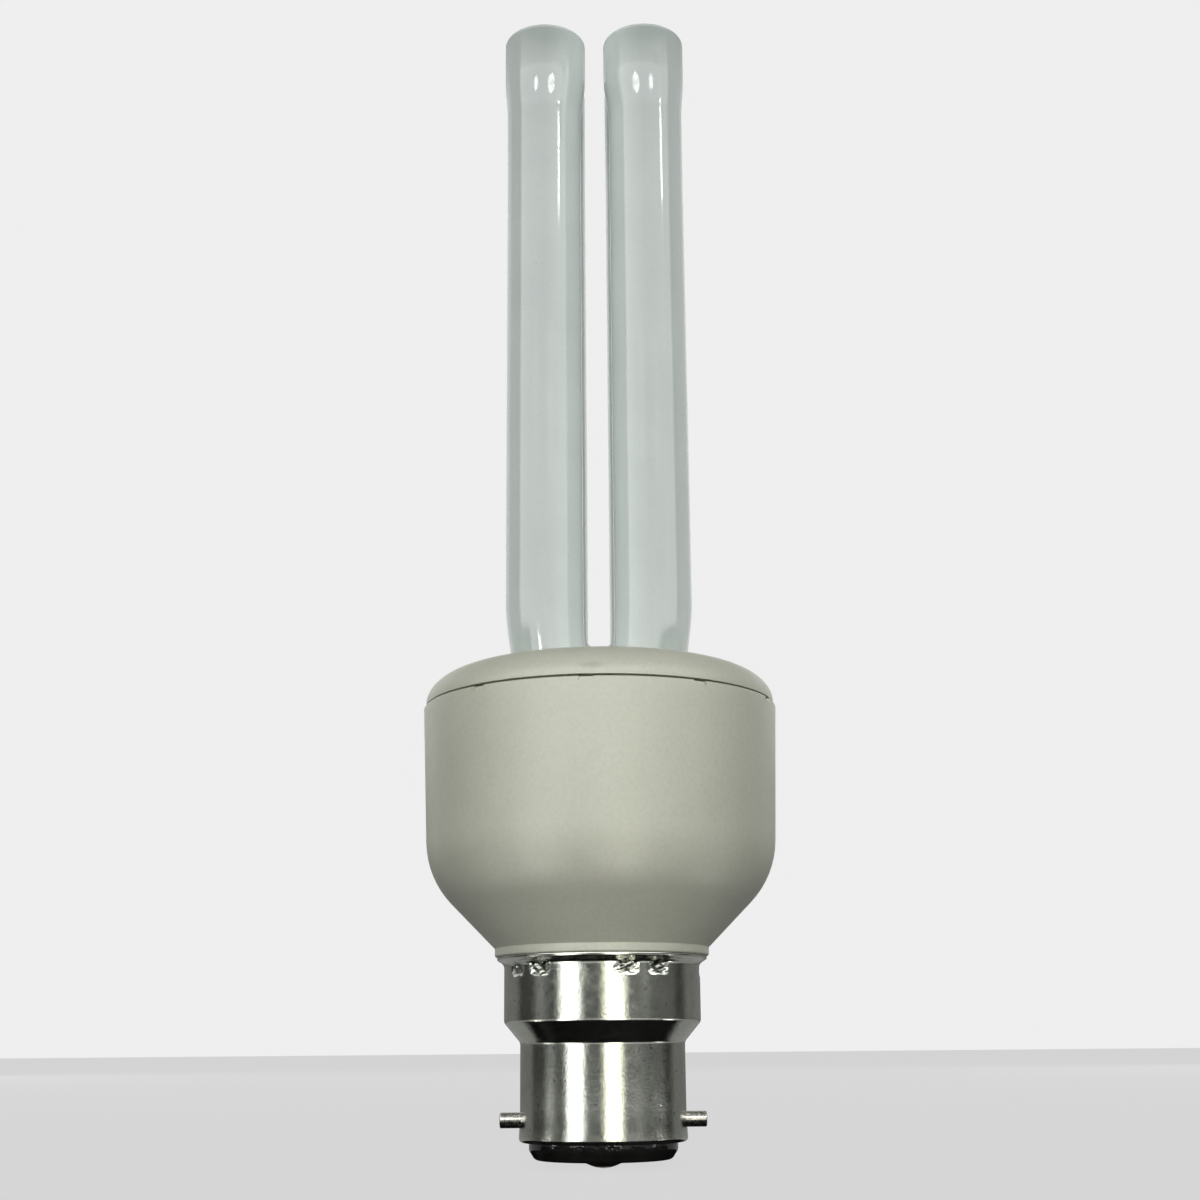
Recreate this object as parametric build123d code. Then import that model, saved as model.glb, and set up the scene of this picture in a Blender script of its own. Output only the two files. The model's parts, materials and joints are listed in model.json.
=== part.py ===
from build123d import *
import os
from math import atan2, cos, pi, radians, sin, sqrt, tan

# Compact fluorescent bulb with its ballast in the case and a two-contact bayonet cap.
# Millimetres. The lamp's axis is Z, with the glass up. The origin is the point on that axis
# level with the two bayonet pins, which lie along X. The front is towards -Y.

# Flat sides that stand for a full turn, so that the meshes stay light
CASE_SIDES = 52
CAP_SIDES = 48
TUBE_SIDES = 26
CONTACT_SIDES = 16
CAN_SIDES = 16
WIRE_SIDES = 6

# Flats along a round of an outline
ROUND_STEPS = 5
DOME_STEPS = 3
BEND_STEPS = 2

# Bayonet cap
CAP_WALL = 0.35
BARREL_DIAMETER = 21.7
BARREL_RISE = 9.8             # from the pins up to the cone
RIM_DIAMETER = 22.0
RIM_DROP = 2.75               # from the pins down to the rim's lower face
RIM_HEIGHT = 1.7
RIM_SLOPE = 0.95              # part of that height over which the rim runs back into the barrel
RIM_RADIUS = 0.5
LIP_BORE = 19.4               # opening in the rim that the insulator fills
CONE_HEIGHT = 2.55
SKIRT_DIAMETER = 26.0
SKIRT_HEIGHT = 7.45
FLARE_DIAMETER = 27.9
FLARE_HEIGHT = 1.0
FLARE_EDGE = 0.4              # upright edge at the top of the flare
BEND_RADIUS = 0.9

# Crimps that stake the cap to the neck of the case
CRIMP_PAIRS = 5
CRIMP_TURN = -48.0            # degrees from the front to the middle of one pair
CRIMP_SPREAD = 10.0           # degrees from there to each crimp of the pair
CRIMP_WIDTH = 1.9
CRIMP_HEIGHT = 1.2
CRIMP_DEPTH = 0.35
CRIMP_DROP = 0.9              # from the foot of the flare to the middle of a crimp

# Bayonet pins
PIN_DIAMETER = 2.0
PIN_SPAN = 27.0
SHANK_DIAMETER = 1.5
PIN_HEAD_DIAMETER = 2.4
PIN_HEAD_HEIGHT = 0.6

# Insulator and contacts
INSULATOR_DROP = 2.2          # below the rim's lower face
INSULATOR_FACE = 18.0         # diameter at the lower face
INSULATOR_EDGE = 0.9
INSULATOR_RISE = 0.8          # above the inside of the rim
CONTACT_PITCH = 9.2
CONTACT_DIAMETER = 5.4
CONTACT_PLATE = 0.25
CONTACT_CROWN = 0.55
CONTACT_FLAT = 2.4
EYELET_DIAMETER = 2.4
EYELET_BORE = 1.4
LEAD_DIAMETER = 1.2

# Case
CASE_WALL = 1.7
NECK_CLEARANCE = 0.1          # between the neck and the crimps
NECK_STANDOFF = 1.3           # from the top of the cap's cone to the end of the neck
RING_DIAMETER = 28.5
RING_HEIGHT = 1.1
CONE_RISE = 9.3               # from the neck ring to the corner that the shoulder rounds
SHOULDER_RADIUS = 12.0
BODY_HEIGHT = 22.9            # from that corner to the seam
MOUTH_DIAMETER = 48.3         # at the seam
WALL_DRAFT = 0.75             # taper of the wall's radius from the seam to that corner
SEAM_GAP = 0.3
NOTCH_COUNT = 10
NOTCH_WIDTH = 1.9
NOTCH_HEIGHT = 0.6
NOTCH_DEPTH = 0.7
NOTCH_TURN = -4.0             # degrees from the front to the nearest notch
LEDGE_COUNT = 4
LEDGE_WIDTH = 1.4
LEDGE_REACH = 1.6             # under the board's edge

# Collar
COLLAR_STEP = 0.3             # from the case's mouth in to the collar's edge
COLLAR_BAND = 0.35            # upright edge above the seam
CROWN_RUN = 7.0
CROWN_RISE = 4.4
COLLAR_PLATE = 2.2
SPIGOT_WALL = 1.5
SPIGOT_CLEARANCE = 0.15
SOCKET_CLEARANCE = 0.15

# Discharge tube
TUBE_DIAMETER = 11.05
TUBE_PITCH = 14.35
TUBE_LENGTH = 94.95           # from the collar's top to the tip
END_DIAMETER = 11.85
END_FLARE = 4.6               # height over which the tube widens to its end
END_BAND = 4.4                # straight part of the end, under its dome
END_RUN = 4.6                 # round of the domed end, inwards
END_RISE = 1.8                # and upwards
ROOT_DIAMETER = 10.45
ROOT_RISE = 1.5               # from the collar's top to the root's widening
ROOT_TAPER = 5.0              # height over which the root widens to the tube
TUBE_SINK = 7.5               # below the collar's top
BRIDGE_DIAMETER = 5.2
BRIDGE_DROP = 9.0             # from the tip to the upper bridges
BRIDGE_CLEARANCE = 0.2        # from the collar's top to the lower bridge
PINCH_WIDTH = 8.0
PINCH_THICKNESS = 2.6
PINCH_HEIGHT = 4.0
ELECTRODE_LEAD_DIAMETER = 0.6
ELECTRODE_LEAD_PITCH = 4.6
ELECTRODE_LEAD_LENGTH = 1.5

# Ballast
BOARD_THICKNESS = 1.6
BOARD_CLEARANCE = 0.4         # round the board's edge
BOARD_PLAY = 0.15             # between the board and the collar's spigot
HOLE_CLEARANCE = 0.15
PART_GAP = 0.5                # between neighbours on the board
CORE_LIMB = 2.0
CORE_WINDOW = 2.6
CORE_THICKNESS = 6.0
CORE_HEIGHT = 12.6
BOBBIN_WALL = 0.6
BOBBIN_CLEARANCE = 0.1
WINDING_DEPTH = 1.6
STORAGE_DIAMETER = 9.5
STORAGE_HEIGHT = 16.0
STORAGE_EDGE = 0.8
TOROID_DIAMETER = 8.0
TOROID_BORE = 4.0
TOROID_HEIGHT = 4.6
TRANSISTOR_WIDTH = 7.8
TRANSISTOR_THICKNESS = 2.7
TRANSISTOR_HEIGHT = 10.8
LEG_LENGTH = 2.4
LEG_WIDTH = 0.8
LEG_THICKNESS = 0.5
LEG_PITCH = 2.3
FILM_LENGTH = 9.0
FILM_THICKNESS = 4.4
FILM_HEIGHT = 8.0
RECTIFIER_LENGTH = 5.0
RECTIFIER_WIDTH = 4.4
RECTIFIER_HEIGHT = 2.8
FILTER_DIAMETER = 5.0
FILTER_HEIGHT = 7.0
RESISTOR_DIAMETER = 2.8
RESISTOR_LENGTH = 5.4
DIODE_DIAMETER = 2.0
DIODE_LENGTH = 4.0
AXIAL_LEAD_DIAMETER = 0.7
AXIAL_LEAD_RUN = 0.8          # from the end of an axial part to its lead's bend

# Levels up the axis
rim_bottom = -RIM_DROP
cone_top = BARREL_RISE + CONE_HEIGHT
skirt_top = cone_top + SKIRT_HEIGHT
cap_top = skirt_top + FLARE_HEIGHT
insulator_bottom = rim_bottom - INSULATOR_DROP
insulator_top = rim_bottom + CAP_WALL + INSULATOR_RISE
plate_bottom = insulator_bottom - CONTACT_PLATE
ring_top = cap_top + RING_HEIGHT
corner_level = ring_top + CONE_RISE
seam_bottom = corner_level + BODY_HEIGHT
seam_top = seam_bottom + SEAM_GAP
crown_level = seam_top + COLLAR_BAND
collar_top = crown_level + CROWN_RISE
plate_under = collar_top - COLLAR_PLATE
tube_top = collar_top + TUBE_LENGTH
tube_bottom = collar_top - TUBE_SINK
pinch_bottom = tube_bottom - PINCH_HEIGHT
board_top = pinch_bottom - ELECTRODE_LEAD_LENGTH
board_bottom = board_top - BOARD_THICKNESS
spigot_end = board_top + BOARD_PLAY

# Radii and places that pieces share
barrel_inside = BARREL_DIAMETER / 2 - CAP_WALL
skirt_inside = SKIRT_DIAMETER / 2 - CAP_WALL
neck_radius = skirt_inside - CRIMP_DEPTH - NECK_CLEARANCE
neck_bore = neck_radius - CASE_WALL
mouth_radius = MOUTH_DIAMETER / 2
corner_radius = mouth_radius - WALL_DRAFT
tube_centre = TUBE_PITCH / 2
contact_centre = CONTACT_PITCH / 2
limb_places = [(x, y) for y in (-tube_centre, tube_centre) for x in (-tube_centre, tube_centre)]
lead_offsets = (-ELECTRODE_LEAD_PITCH / 2, ELECTRODE_LEAD_PITCH / 2)
lead_places = [(x + dx, -tube_centre) for x in (-tube_centre, tube_centre) for dx in lead_offsets]


def case_inside(level):
    """Radius of the tapered wall's inside face at a level."""
    return corner_radius + WALL_DRAFT * (level - corner_level) / BODY_HEIGHT - CASE_WALL


board_radius = case_inside(board_bottom) - BOARD_CLEARANCE
spigot_radius = case_inside(spigot_end) - SPIGOT_CLEARANCE


def turned(outline, sides):
    """Many-sided solid turned about Z from a closed outline of (radius, level) points."""
    points = [Vector(radius, 0, level) for radius, level in outline]
    pitch = 360 / sides
    facets = []
    for near, far in zip(points, points[1:] + points[:1]):
        swept = [end.rotate(Axis.Z, pitch) for end in (far, near) if end.X > 0]
        if swept:
            facet = Face(Wire.make_polygon([near, far, *swept]))
            facets += [Rot(0, 0, pitch * side) * facet for side in range(sides)]
    return Solid(Shell(facets)).clean()


def rod(radius, bottom, top, x=0, y=0, sides=CAN_SIDES):
    """Upright many-sided rod between two levels."""
    return extrude(Pos(x, y, bottom) * RegularPolygon(radius, sides), top - bottom)


def hung_block(length, width, height, x, y, top):
    """Box that hangs from a level."""
    return Pos(x, y, top) * Box(length, width, height, align=(Align.CENTER, Align.CENTER, Align.MAX))


def round_over(radius, level, run, rise, steps):
    """Points of an elliptical round, from an upright side at a radius in to a flat top."""
    turns = [pi / 2 * step / steps for step in range(steps + 1)]
    return [(radius - run * (1 - cos(turn)), level + rise * sin(turn)) for turn in turns]


def round_corner(before, corner, after, radius, steps):
    """Points of a round between the two straight runs that meet at a corner of an outline."""
    corner = Vector(*corner)
    back, on = [(Vector(*end) - corner).normalized() for end in (before, after)]
    half = radians(back.get_angle(on)) / 2
    centre = corner + (back + on).normalized() * (radius / sin(half))
    first, last = [corner + way * (radius / tan(half)) - centre for way in (back, on)]
    spread = pi - 2 * half
    points = []
    for step in range(steps + 1):
        turn = spread * step / steps
        spoke = (first * sin(spread - turn) + last * sin(turn)) / sin(spread)
        points.append((centre.X + spoke.X, centre.Y + spoke.Y))
    return points


def crimp_blocks(inner_radius):
    """Blocks round the top of the skirt, from a radius outwards, at the places of the crimps."""
    block = Box(2 * CRIMP_DEPTH + CAP_WALL, CRIMP_WIDTH, CRIMP_HEIGHT, align=(Align.MIN, Align.CENTER, Align.CENTER))
    level = Pos(0, 0, skirt_top - CRIMP_DROP)
    turns = [CRIMP_TURN - 90 + side * CRIMP_SPREAD for side in (-1, 1)]
    return [level * place * block for turn in turns for place in PolarLocations(inner_radius, CRIMP_PAIRS, turn)]


def make_cap_shell():
    """Drawn sheet shell: rolled rim, barrel, cone, skirt and flared lip, staked by crimps."""
    barrel = BARREL_DIAMETER / 2
    rim = RIM_DIAMETER / 2
    skirt = SKIRT_DIAMETER / 2
    flare = FLARE_DIAMETER / 2
    rim_top = rim_bottom + RIM_HEIGHT
    flare_top = cap_top - FLARE_EDGE
    cone_lean = CAP_WALL * tan(atan2(skirt - barrel, CONE_HEIGHT) / 2)
    flare_lean = CAP_WALL * tan(atan2(flare - skirt, flare_top - skirt_top) / 2)
    lip_start = (LIP_BORE / 2, rim_bottom)
    rim_corner = (rim, rim_bottom)
    rim_end = (rim, rim_top - RIM_SLOPE)
    barrel_start = (barrel, rim_top)
    barrel_end = (barrel, BARREL_RISE)
    skirt_start = (skirt, cone_top)
    skirt_end = (skirt, skirt_top)
    flare_end = (flare, flare_top)
    outside = [
        lip_start,
        *round_corner(lip_start, rim_corner, rim_end, RIM_RADIUS, BEND_STEPS),
        rim_end,
        barrel_start,
        *round_corner(barrel_start, barrel_end, skirt_start, BEND_RADIUS, BEND_STEPS),
        *round_corner(barrel_end, skirt_start, skirt_end, BEND_RADIUS, BEND_STEPS),
        *round_corner(skirt_start, skirt_end, flare_end, BEND_RADIUS, BEND_STEPS),
        flare_end,
        (flare, cap_top),
    ]
    inside = [
        (flare - CAP_WALL, cap_top),
        (flare - CAP_WALL, flare_top + flare_lean),
        (skirt_inside, skirt_top + flare_lean),
        (skirt_inside, cone_top + cone_lean),
        (barrel_inside, BARREL_RISE + cone_lean),
        (barrel_inside, rim_bottom + CAP_WALL),
        (LIP_BORE / 2, rim_bottom + CAP_WALL),
    ]
    shell = turned(outside + inside, CAP_SIDES)
    within_skirt = rod(skirt, cone_top, skirt_top, sides=CAP_SIDES)
    shell += [block & within_skirt for block in crimp_blocks(skirt_inside - CRIMP_DEPTH)]
    shell -= crimp_blocks(skirt - CRIMP_DEPTH)
    return shell - Rot(0, 90, 0) * rod(SHANK_DIAMETER / 2, -barrel, barrel)


def make_bayonet_pin(turn):
    """Pin riveted through the barrel, turned about Z to its side."""
    shoulder = BARREL_DIAMETER / 2
    barrel_flat = barrel_inside * cos(pi / CAP_SIDES)
    head = sqrt(barrel_flat**2 - (PIN_HEAD_DIAMETER / 2) ** 2)
    tip = PIN_SPAN / 2
    pin = rod(PIN_HEAD_DIAMETER / 2, head - PIN_HEAD_HEIGHT, head)
    pin += rod(SHANK_DIAMETER / 2, head, shoulder)
    pin += Pos(0, 0, (shoulder + tip) / 2) * Cylinder(PIN_DIAMETER / 2, tip - shoulder)
    return Rot(0, 0, turn) * Rot(0, 90, 0) * pin


def make_cap_insulator():
    """Black glass moulded into the rim, with a hole for each contact's eyelet."""
    face_corner = (INSULATOR_FACE / 2, insulator_bottom)
    lip_corner = (LIP_BORE / 2, rim_bottom)
    outline = [
        (0, insulator_bottom),
        *round_corner((0, insulator_bottom), face_corner, lip_corner, INSULATOR_EDGE, BEND_STEPS),
        lip_corner,
        (LIP_BORE / 2, rim_bottom + CAP_WALL),
        (barrel_inside, rim_bottom + CAP_WALL),
        (barrel_inside, insulator_top),
        (0, insulator_top),
    ]
    disc = turned(outline, CAP_SIDES)
    for y in (-contact_centre, contact_centre):
        disc -= rod(EYELET_DIAMETER / 2, insulator_bottom, insulator_top, y=y, sides=CONTACT_SIDES)
    return disc


def make_contact(y):
    """Contact plate with its soldered crown and the eyelet that holds the supply lead."""
    crown = plate_bottom - CONTACT_CROWN
    outline = [
        (0, crown),
        (CONTACT_FLAT / 2, crown),
        (CONTACT_DIAMETER / 2, plate_bottom),
        (CONTACT_DIAMETER / 2, insulator_bottom),
        (EYELET_DIAMETER / 2, insulator_bottom),
        (EYELET_DIAMETER / 2, insulator_top),
        (EYELET_BORE / 2, insulator_top),
        (EYELET_BORE / 2, insulator_bottom),
        (0, insulator_bottom),
    ]
    return Pos(0, y, 0) * turned(outline, CONTACT_SIDES)


def make_supply_lead(y):
    """Wire from a contact's eyelet up to the board."""
    return rod(LEAD_DIAMETER / 2, insulator_bottom, board_bottom, y=y, sides=WIRE_SIDES)


def make_ballast_housing():
    """Moulded cup: neck in the cap, neck ring, cone, rounded shoulder and tapered wall."""
    ring = RING_DIAMETER / 2
    neck_bottom = cone_top + NECK_STANDOFF
    slope = atan2(CONE_RISE, corner_radius - ring)
    cone_offset = CASE_WALL / cos(slope)
    cone_foot = ring_top + cone_offset - (ring - neck_bore) * tan(slope)
    inner_corner = corner_level + cone_offset - CASE_WALL * tan(slope)
    cone_start = (ring, ring_top)
    cone_end = (corner_radius, corner_level)
    wall_end = (mouth_radius, seam_bottom)
    outside = [
        (0, neck_bottom),
        (neck_radius, neck_bottom),
        (neck_radius, cap_top),
        (ring, cap_top),
        cone_start,
        *round_corner(cone_start, cone_end, wall_end, SHOULDER_RADIUS, ROUND_STEPS),
        wall_end,
        (0, seam_bottom),
    ]
    foot = (neck_bore, cone_foot)
    inner_end = (case_inside(inner_corner), inner_corner)
    inner_mouth = (case_inside(seam_bottom), seam_bottom)
    inside = [
        (0, neck_bottom),
        (neck_bore, neck_bottom),
        foot,
        *round_corner(foot, inner_end, inner_mouth, SHOULDER_RADIUS - CASE_WALL, 1),
        inner_mouth,
        (0, seam_bottom),
    ]
    cup = turned(outside, CASE_SIDES)
    ledges = [ledge & cup for ledge in board_ledges()]
    return cup - turned(inside, CASE_SIDES) + ledges - seam_notches()


def board_ledges():
    """Ribs up the inside of the case that the board sits on."""
    inner_end = board_radius - LEDGE_REACH
    length = case_inside(board_bottom) + CASE_WALL / 2 - inner_end
    rib = Box(length, LEDGE_WIDTH, board_bottom - corner_level, align=(Align.MIN, Align.CENTER, Align.MIN))
    foot = Pos(0, 0, corner_level)
    return [foot * place * rib for place in PolarLocations(inner_end, LEDGE_COUNT, 180 / LEDGE_COUNT)]


def seam_notches():
    """Small cuts in the case's upper edge, all round the seam."""
    cutter = Box(2 * NOTCH_DEPTH, NOTCH_WIDTH, NOTCH_HEIGHT, align=(Align.CENTER, Align.CENTER, Align.MAX))
    edge = Pos(0, 0, seam_bottom)
    return [edge * place * cutter for place in PolarLocations(mouth_radius, NOTCH_COUNT, NOTCH_TURN - 90)]


def make_tube_collar():
    """Moulded cover: domed shoulder, sockets for the glass and a spigot that holds the board down."""
    edge = mouth_radius - COLLAR_STEP
    flat = edge - CROWN_RUN
    outline = [
        *round_over(edge, crown_level, CROWN_RUN, CROWN_RISE, ROUND_STEPS),
        (0, collar_top),
        (0, plate_under),
        (flat, plate_under),
        (spigot_radius - SPIGOT_WALL, crown_level),
        (spigot_radius - SPIGOT_WALL, spigot_end),
        (spigot_radius, spigot_end),
        (spigot_radius, seam_top),
        (edge, seam_top),
    ]
    collar = turned(outline, CASE_SIDES)
    socket = ROOT_DIAMETER / 2 + SOCKET_CLEARANCE
    return collar - [rod(socket, plate_under, collar_top, x, y, TUBE_SIDES) for x, y in limb_places]


def make_limb():
    """One straight limb, drawn in at its root and widened towards its flattened, domed end."""
    root = ROOT_DIAMETER / 2
    tube = TUBE_DIAMETER / 2
    end = END_DIAMETER / 2
    root_top = collar_top + ROOT_RISE
    end_level = tube_top - END_RISE
    outline = [
        (0, tube_bottom),
        (root, tube_bottom),
        (root, root_top),
        (tube, root_top + ROOT_TAPER),
        (tube, end_level - END_BAND - END_FLARE),
        (end, end_level - END_BAND),
        *round_over(end, end_level, END_RUN, END_RISE, DOME_STEPS),
        (0, tube_top),
    ]
    return turned(outline, TUBE_SIDES)


def bridges():
    """Cross tubes: front to rear near the tips, and across the rear pair just above the collar."""
    upper = tube_top - BRIDGE_DROP
    lower = collar_top + BRIDGE_CLEARANCE + BRIDGE_DIAMETER / 2
    cross = extrude(RegularPolygon(BRIDGE_DIAMETER / 2, CAN_SIDES), TUBE_PITCH / 2, both=True)
    near_tips = [Pos(x, 0, upper) * Rot(90, 0, 0) * cross for x in (-tube_centre, tube_centre)]
    return [*near_tips, Pos(0, tube_centre, lower) * Rot(0, 90, 0) * cross]


def make_discharge_tube():
    """Four limbs fused by three bridges, sealed, with the front tails pinched round the leads."""
    glass = Part() + [Pos(x, y, 0) * make_limb() for x, y in limb_places] + bridges()
    for x in (-tube_centre, tube_centre):
        glass += hung_block(PINCH_WIDTH, PINCH_THICKNESS, PINCH_HEIGHT, x, -tube_centre, tube_bottom)
    return glass


def make_electrode_leads():
    """Four short wires from the pinches into the board."""
    radius = ELECTRODE_LEAD_DIAMETER / 2
    return Compound([rod(radius, board_bottom, pinch_bottom, x, y, WIRE_SIDES) for x, y in lead_places])


def make_circuit_board():
    """Round board with a hole for each electrode wire."""
    hole = ELECTRODE_LEAD_DIAMETER / 2 + HOLE_CLEARANCE
    board = rod(board_radius, board_bottom, board_top, sides=CASE_SIDES)
    return board - [rod(hole, board_bottom, board_top, x, y, WIRE_SIDES) for x, y in lead_places]


def axial_reach(length):
    """From the middle of an axial part to the outside of a bent lead."""
    return length / 2 + AXIAL_LEAD_RUN + AXIAL_LEAD_DIAMETER / 2


# Choke, with its two E-shaped core halves seen along Y
core_width = 4 * CORE_LIMB + 2 * CORE_WINDOW
window_height = CORE_HEIGHT - 2 * CORE_LIMB
tube_width = 2 * (CORE_LIMB + BOBBIN_CLEARANCE + BOBBIN_WALL)
tube_length = CORE_THICKNESS + 2 * (BOBBIN_CLEARANCE + BOBBIN_WALL)
choke_length = tube_length + 2 * WINDING_DEPTH
bobbin_top = board_bottom - CORE_LIMB - BOBBIN_CLEARANCE
bobbin_height = window_height - 2 * BOBBIN_CLEARANCE

# Places on the board, worked outwards from the supply leads in the middle
lead_edge = contact_centre + LEAD_DIAMETER / 2 + PART_GAP
choke_x = -(LEAD_DIAMETER / 2 + PART_GAP + core_width / 2)
storage_x = STORAGE_DIAMETER / 2 + LEAD_DIAMETER / 2 + PART_GAP
toroid_x = storage_x + (STORAGE_DIAMETER + TOROID_DIAMETER) / 2 + PART_GAP
film_y = choke_length / 2 + PART_GAP + FILM_THICKNESS / 2
filter_y = max(lead_edge, STORAGE_DIAMETER / 2 + PART_GAP) + FILTER_DIAMETER / 2
rectifier_x = storage_x + (FILTER_DIAMETER + RECTIFIER_LENGTH) / 2 + PART_GAP
resistor_x = storage_x + axial_reach(DIODE_LENGTH) + PART_GAP + axial_reach(RESISTOR_LENGTH)


def make_choke_core():
    """Ferrite core with an outer limb each side of the limb that carries the bobbin."""
    core = hung_block(core_width, CORE_THICKNESS, CORE_HEIGHT, choke_x, 0, board_bottom)
    offset = CORE_LIMB + CORE_WINDOW / 2
    for x in (choke_x - offset, choke_x + offset):
        core -= hung_block(CORE_WINDOW, CORE_THICKNESS, window_height, x, 0, board_bottom - CORE_LIMB)
    return core


def make_choke_bobbin():
    """Moulded sleeve on the middle limb, with a flange at each end."""
    sleeve = hung_block(tube_width, tube_length, bobbin_height, choke_x, 0, bobbin_top)
    flange_width = 2 * (CORE_LIMB + CORE_WINDOW - BOBBIN_CLEARANCE)
    for top in (bobbin_top, bobbin_top - bobbin_height + BOBBIN_WALL):
        sleeve += hung_block(flange_width, choke_length, BOBBIN_WALL, choke_x, 0, top)
    limb_width = 2 * (CORE_LIMB + BOBBIN_CLEARANCE)
    limb_length = CORE_THICKNESS + 2 * BOBBIN_CLEARANCE
    return sleeve - hung_block(limb_width, limb_length, bobbin_height, choke_x, 0, bobbin_top)


def make_choke_winding():
    """Wound wire between the bobbin's flanges."""
    top = bobbin_top - BOBBIN_WALL
    height = bobbin_height - 2 * BOBBIN_WALL
    width = 2 * (CORE_LIMB + CORE_WINDOW - 2 * BOBBIN_CLEARANCE)
    length = choke_length - 2 * BOBBIN_CLEARANCE
    coil = hung_block(width, length, height, choke_x, 0, top)
    return coil - hung_block(tube_width, tube_length, height, choke_x, 0, top)


def make_storage_capacitor():
    """Electrolytic can that hangs towards the neck."""
    bottom = board_bottom - STORAGE_HEIGHT
    can = STORAGE_DIAMETER / 2
    outline = [
        (0, bottom),
        (can - STORAGE_EDGE, bottom),
        (can, bottom + STORAGE_EDGE),
        (can, board_bottom),
        (0, board_bottom),
    ]
    return Pos(storage_x, 0, 0) * turned(outline, CAN_SIDES)


def make_drive_transformer():
    """Small ring core with its windings."""
    ring = rod(TOROID_DIAMETER / 2, board_bottom - TOROID_HEIGHT, board_bottom, toroid_x)
    return ring - rod(TOROID_BORE / 2, board_bottom - TOROID_HEIGHT, board_bottom, toroid_x)


def make_transistor(side):
    """Flat package on three legs, beyond the filter choke's circle."""
    y = side * (filter_y + FILTER_DIAMETER / 2 + PART_GAP + TRANSISTOR_THICKNESS / 2)
    x = LEAD_DIAMETER / 2 + PART_GAP + TRANSISTOR_WIDTH / 2
    body_top = board_bottom - LEG_LENGTH
    package = hung_block(TRANSISTOR_WIDTH, TRANSISTOR_THICKNESS, TRANSISTOR_HEIGHT, x, y, body_top)
    for dx in (-LEG_PITCH, 0, LEG_PITCH):
        package += hung_block(LEG_WIDTH, LEG_THICKNESS, LEG_LENGTH, x + dx, y, board_bottom)
    return package


def make_film_capacitor(side):
    """Dipped film capacitor beside the choke."""
    return hung_block(FILM_LENGTH, FILM_THICKNESS, FILM_HEIGHT, choke_x, side * film_y, board_bottom)


def make_bridge_rectifier():
    """Flat four-diode package."""
    y = TOROID_DIAMETER / 2 + PART_GAP + RECTIFIER_WIDTH / 2
    return hung_block(RECTIFIER_LENGTH, RECTIFIER_WIDTH, RECTIFIER_HEIGHT, rectifier_x, y, board_bottom)


def make_filter_choke():
    """Small sleeved choke on the supply side."""
    return rod(FILTER_DIAMETER / 2, board_bottom - FILTER_HEIGHT, board_bottom, storage_x, filter_y)


def axial_part(diameter, length, x, y):
    """Small round part lying along X under the board, on its two bent leads."""
    level = board_bottom - diameter / 2 - AXIAL_LEAD_DIAMETER
    lead = AXIAL_LEAD_DIAMETER / 2
    reach = axial_reach(length) - lead
    lying = Pos(x, y, level) * Rot(0, 90, 0)
    part = lying * extrude(RegularPolygon(diameter / 2, CAN_SIDES), length / 2, both=True)
    part += lying * extrude(RegularPolygon(lead, WIRE_SIDES), reach, both=True)
    return part + [rod(lead, level, board_bottom, x + dx, y, WIRE_SIDES) for dx in (-reach, reach)]


def make_fusible_resistor():
    y = -(TOROID_DIAMETER / 2 + PART_GAP + RESISTOR_DIAMETER / 2)
    return axial_part(RESISTOR_DIAMETER, RESISTOR_LENGTH, resistor_x, y)


def make_trigger_diode():
    return axial_part(DIODE_DIAMETER, DIODE_LENGTH, storage_x, -filter_y)


PARTS = {
    "discharge_tube": make_discharge_tube(),
    "tube_collar": make_tube_collar(),
    "ballast_housing": make_ballast_housing(),
    "cap_shell": make_cap_shell(),
    "bayonet_pin_left": make_bayonet_pin(180),
    "bayonet_pin_right": make_bayonet_pin(0),
    "cap_insulator": make_cap_insulator(),
    "contact_front": make_contact(-contact_centre),
    "contact_rear": make_contact(contact_centre),
    "supply_lead_front": make_supply_lead(-contact_centre),
    "supply_lead_rear": make_supply_lead(contact_centre),
    "electrode_leads": make_electrode_leads(),
    "circuit_board": make_circuit_board(),
    "choke_core": make_choke_core(),
    "choke_bobbin": make_choke_bobbin(),
    "choke_winding": make_choke_winding(),
    "storage_capacitor": make_storage_capacitor(),
    "drive_transformer": make_drive_transformer(),
    "transistor_left": make_transistor(-1),
    "transistor_right": make_transistor(1),
    "resonance_capacitor": make_film_capacitor(-1),
    "coupling_capacitor": make_film_capacitor(1),
    "bridge_rectifier": make_bridge_rectifier(),
    "filter_choke": make_filter_choke(),
    "fusible_resistor": make_fusible_resistor(),
    "trigger_diode": make_trigger_diode(),
}

os.makedirs("parts", exist_ok=True)
for name, solid in PARTS.items():
    export_step(solid, f"parts/{name}.step")
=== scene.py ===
import json
from math import cos, exp, pi, radians, sin, tan

import bmesh
import bpy
from mathutils import Matrix, Vector


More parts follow.
